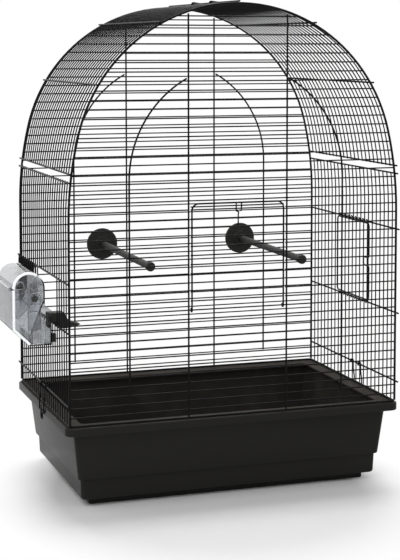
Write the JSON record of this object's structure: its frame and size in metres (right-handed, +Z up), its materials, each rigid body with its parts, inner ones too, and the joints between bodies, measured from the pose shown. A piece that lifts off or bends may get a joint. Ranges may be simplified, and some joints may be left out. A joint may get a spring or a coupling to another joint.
{
  "type": "bird cage",
  "caption": "Arched wire bird cage on a deep black tray, with a front door, sliding side doors, perches and an outside feeder.",
  "frame": {"origin": "middle of the tray's flat underside, on the floor", "axes": "+Z up, +Y towards the back wall that carries the perches, +X to the right seen from the front"},
  "size_m": [0.5775, 0.3429, 0.7239],
  "materials": {
    "black_wire": "satin black coated wire",
    "tray_plastic": "glossy black moulding",
    "black_plastic": "matte black moulding",
    "clear_plastic": "clear moulding",
    "pin_steel": "plain steel pin"
  },
  "bodies": {
    "tray": {"tray": "tray_plastic"},
    "cage": {"bottom_frame": "black_wire", "front_edge_wire": "black_wire", "back_edge_wire": "black_wire", "front_bars": "black_wire", "back_bars": "black_wire", "front_uprights": "black_wire", "back_uprights": "black_wire", "front_arches": "black_wire", "back_arches": "black_wire", "left_side_wires": "black_wire", "right_side_wires": "black_wire", "roof_wires": "black_wire", "left_rails": "black_wire", "right_rails": "black_wire", "roof_rails": "black_wire", "perch_rod_left": "black_plastic", "perch_rod_right": "black_plastic", "perch_flange_left": "black_plastic", "perch_flange_right": "black_plastic"},
    "front_door": {"front_door_frame": "black_wire", "front_door_bars": "black_wire", "latch_staples": "black_wire"},
    "front_latch": {"front_door_latch": "black_wire"},
    "right_door": {"right_door_frame": "black_wire", "right_door_wires": "black_wire"},
    "left_door": {"left_door_frame": "black_wire", "left_door_wires": "black_wire"},
    "feeder": {"feeder_housing": "clear_plastic", "feeder_lid_pin": "pin_steel", "feeder_divider": "clear_plastic", "feeder_baffles": "clear_plastic", "feeder_perch": "black_plastic", "feeder_clips": "black_plastic"},
    "feeder_lid": {"feeder_lid": "clear_plastic"},
    "nut_left": {"perch_nut_left": "black_plastic"},
    "nut_right": {"perch_nut_right": "black_plastic"},
    "latch_left": {"tray_latch_left": "black_wire"},
    "latch_right": {"tray_latch_right": "black_wire"},
    "carrying_loop": {"carrying_loop": "black_wire"}
  },
  "joints": [
    {"name": "cage_lift", "type": "slide", "parent": "tray", "child": "cage", "axis": [0, 0, 1], "range_m": [0, 0.12]},
    {"name": "front_door_hinge", "type": "hinge", "parent": "cage", "child": "front_door", "pos_m": [0, -0.16055, 0.2792], "axis": [1, 0, 0], "range_deg": [0, 110]},
    {"name": "front_latch_slide", "type": "slide", "parent": "front_door", "child": "front_latch", "axis": [0, 0, 1], "range_m": [0, 0.006]},
    {"name": "right_door_slide", "type": "slide", "parent": "cage", "child": "right_door", "axis": [0, 1, 0], "range_m": [0, 0.095]},
    {"name": "left_door_slide", "type": "slide", "parent": "cage", "child": "left_door", "axis": [0, -1, 0], "range_m": [0, 0.095]},
    {"name": "feeder_lift", "type": "slide", "parent": "cage", "child": "feeder", "axis": [0, 0, 1], "range_m": [0, 0.01]},
    {"name": "feeder_lid_hinge", "type": "hinge", "parent": "feeder", "child": "feeder_lid", "pos_m": [-0.31645, 0, 0.3095], "axis": [0, -1, 0], "range_deg": [0, 100]},
    {"name": "nut_left_turn", "type": "hinge", "parent": "cage", "child": "nut_left", "pos_m": [-0.118, 0, 0.33815], "axis": [0, 1, 0], "continuous": true},
    {"name": "nut_right_turn", "type": "hinge", "parent": "cage", "child": "nut_right", "pos_m": [0.118, 0, 0.33815], "axis": [0, 1, 0], "continuous": true},
    {"name": "tray_latch_left_hinge", "type": "hinge", "parent": "cage", "child": "latch_left", "pos_m": [-0.25305, 0, 0.153], "axis": [0, 1, 0], "range_deg": [0, 60]},
    {"name": "tray_latch_right_hinge", "type": "hinge", "parent": "cage", "child": "latch_right", "pos_m": [0.25305, 0, 0.153], "axis": [0, -1, 0], "range_deg": [0, 60]},
    {"name": "carrying_loop_hinge", "type": "hinge", "parent": "cage", "child": "carrying_loop", "pos_m": [0, 0, 0.72005], "axis": [0, -1, 0], "range_deg": [0, 95]}
  ]
}
